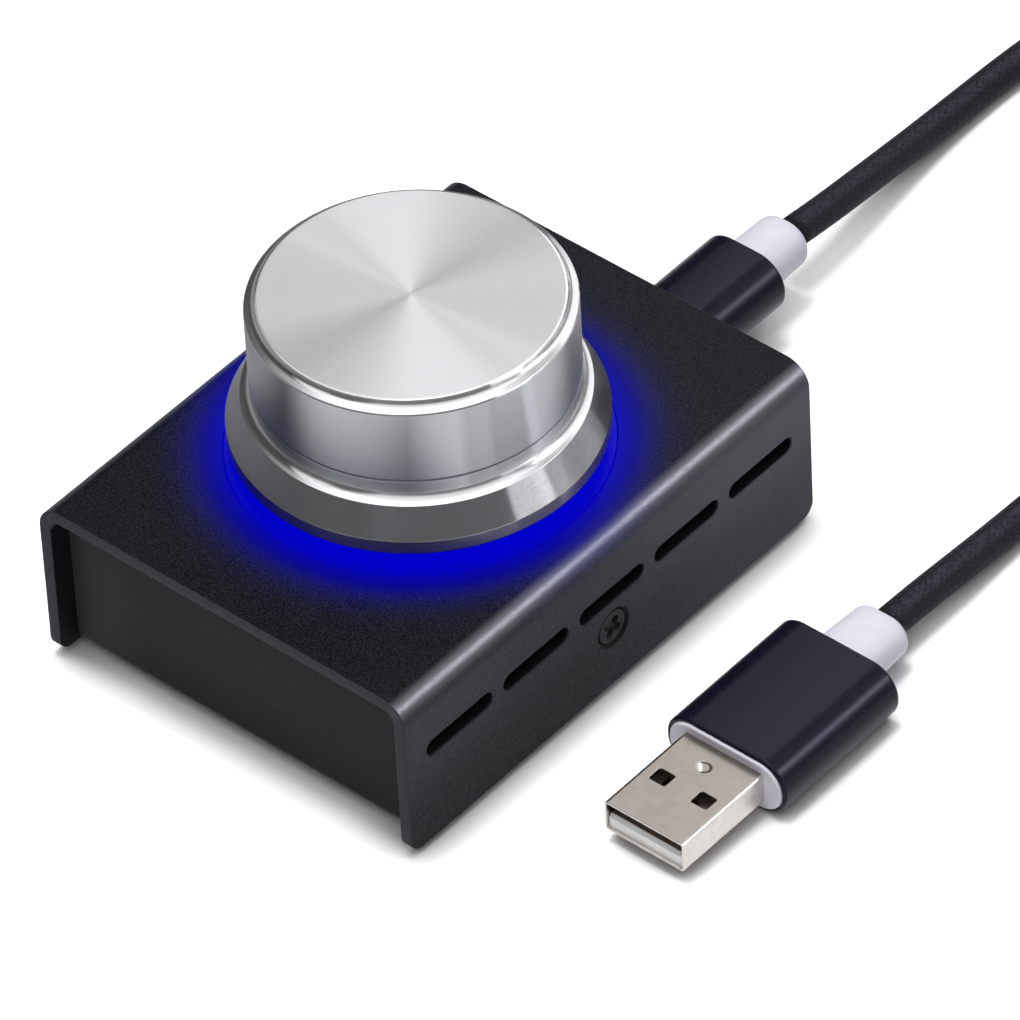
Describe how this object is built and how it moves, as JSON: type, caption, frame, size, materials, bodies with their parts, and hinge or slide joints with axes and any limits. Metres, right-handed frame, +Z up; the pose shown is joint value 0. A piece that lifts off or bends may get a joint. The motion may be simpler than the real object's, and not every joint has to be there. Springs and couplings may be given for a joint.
{
  "type": "usb volume control knob",
  "caption": "Large turned metal volume knob that turns without end and pushes down to mute, on a slotted black sheet-metal box with a glowing ring and a detachable braided USB lead.",
  "frame": {"origin": "on the surface under the rubber feet, below the middle of the box", "axes": "+X to the right along the plain front panel, +Y to the rear panel where the lead plugs in, +Z up along the knob's axis"},
  "size_m": [0.0907, 0.2199, 0.0478],
  "materials": {
    "cover": "black anodised, fine blasted texture",
    "tray": "black anodised, fine blasted texture",
    "knob": "turned and brushed round the axis, clear anodised",
    "insert": "moulded",
    "sleeve": "dark anodised, satin",
    "moulding": "smooth moulded",
    "braid": "fine woven braid",
    "tie": "soft strap",
    "shell": "nickel plated",
    "gilt": "gilt",
    "shaft": "turned",
    "spring": "rolled",
    "standoff": "turned",
    "screw": "blackened",
    "rubber": "matt",
    "board": "glass-fibre laminate with a green mask",
    "chip": "moulded",
    "led": "white package with a clear lens",
    "capacitor": "rolled can",
    "clear": "clear, slightly clouded plastic"
  },
  "bodies": {
    "base": {"top_cover": "cover", "base_tray": "tray", "side_screws": "screw", "rubber_feet": "rubber", "main_board": "board", "board_standoffs": "standoff", "board_screws": "screw", "usb_socket": "shell", "controller_chip": "chip", "crystal": "shell", "capacitors": "capacitor", "header_socket": "chip", "header_pins": "gilt", "upper_board": "board", "ring_lights": "led", "light_ring": "clear", "encoder_case": "chip", "encoder_bracket": "shell", "encoder_pins": "shell", "encoder_washer": "shell", "encoder_nut": "shell", "detent_spring": "spring", "switch_dome": "spring", "rear_plug_tip": "shell", "rear_plug_body": "moulding", "rear_plug_sleeve": "sleeve", "cord_rear": "braid", "cord_coil": "braid", "cord_tie": "tie", "cord_front": "braid", "plug_shell": "shell", "plug_tongue": "moulding", "plug_contacts": "gilt", "plug_body": "moulding", "plug_sleeve": "sleeve"},
    "button": {"switch_plunger": "chip"},
    "knob": {"encoder_shaft": "shaft", "detent_wheel": "chip", "knob_shell": "knob", "knob_insert": "insert"}
  },
  "joints": [
    {"name": "knob_press", "type": "slide", "parent": "base", "child": "button", "axis": [0, 0, -1], "range_m": [0, 0.0005], "stiffness_N_per_m": 800, "springref_m": -0.004, "deforming": ["switch_dome"]},
    {"name": "knob_turn", "type": "hinge", "parent": "button", "child": "knob", "pos_m": [0, -0.0009, 0.03], "axis": [0, 0, 1], "continuous": true}
  ]
}
